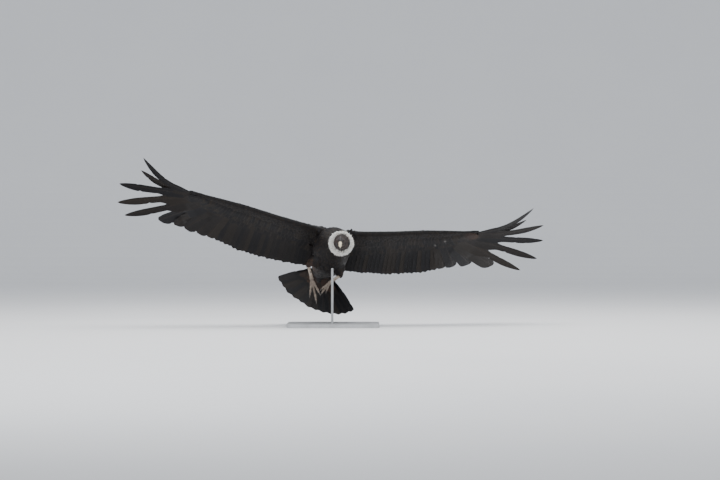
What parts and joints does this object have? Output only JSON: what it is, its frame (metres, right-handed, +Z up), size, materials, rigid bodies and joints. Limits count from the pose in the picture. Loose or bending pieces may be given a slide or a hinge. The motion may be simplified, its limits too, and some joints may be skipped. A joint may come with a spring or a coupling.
{
  "type": "bird_model",
  "caption": "Andean condor in soaring flight, wings spread and finger feathers curved up, life-size still model on a plain stand",
  "frame": {"origin": "centre of the underside of the stand's base, on the surface it stands on", "axes": "+Z up; the bird comes along -Y, and its wings are spread along X"},
  "size_m": [3.0224, 1.1011, 1.1791],
  "materials": {
    "plumage_dark": "near-black feathers with a slight brown sheen",
    "plumage_white": "dull white down",
    "bare_skin": "dark grey-brown wrinkled skin, matte",
    "bill_ivory": "ivory horn, dark at the base, satin",
    "eye_gloss": "brown iris with a clear wet gloss",
    "leg_scales": "pale grey-buff scaled skin, dusty",
    "claw_horn": "dark blunt horn, satin",
    "stand_metal": "plain light grey paint, satin"
  },
  "bodies": {
    "root": {"torso": "plumage_dark", "wing_left": "plumage_dark", "wing_right": "plumage_dark", "tail": "plumage_dark", "thigh_left": "plumage_dark", "thigh_right": "plumage_dark", "ruff": "plumage_white", "neck": "bare_skin", "head": "bare_skin", "comb": "bare_skin", "wattle": "bare_skin", "bill_upper": "bill_ivory", "bill_lower": "bill_ivory", "eye_left": "eye_gloss", "eye_right": "eye_gloss", "leg_left": "leg_scales", "leg_right": "leg_scales", "claw_left_inner": "claw_horn", "claw_left_middle": "claw_horn", "claw_left_outer": "claw_horn", "claw_left_hind": "claw_horn", "claw_right_inner": "claw_horn", "claw_right_middle": "claw_horn", "claw_right_outer": "claw_horn", "claw_right_hind": "claw_horn", "stand_base": "stand_metal", "stand_rod": "stand_metal"}
  },
  "joints": []
}
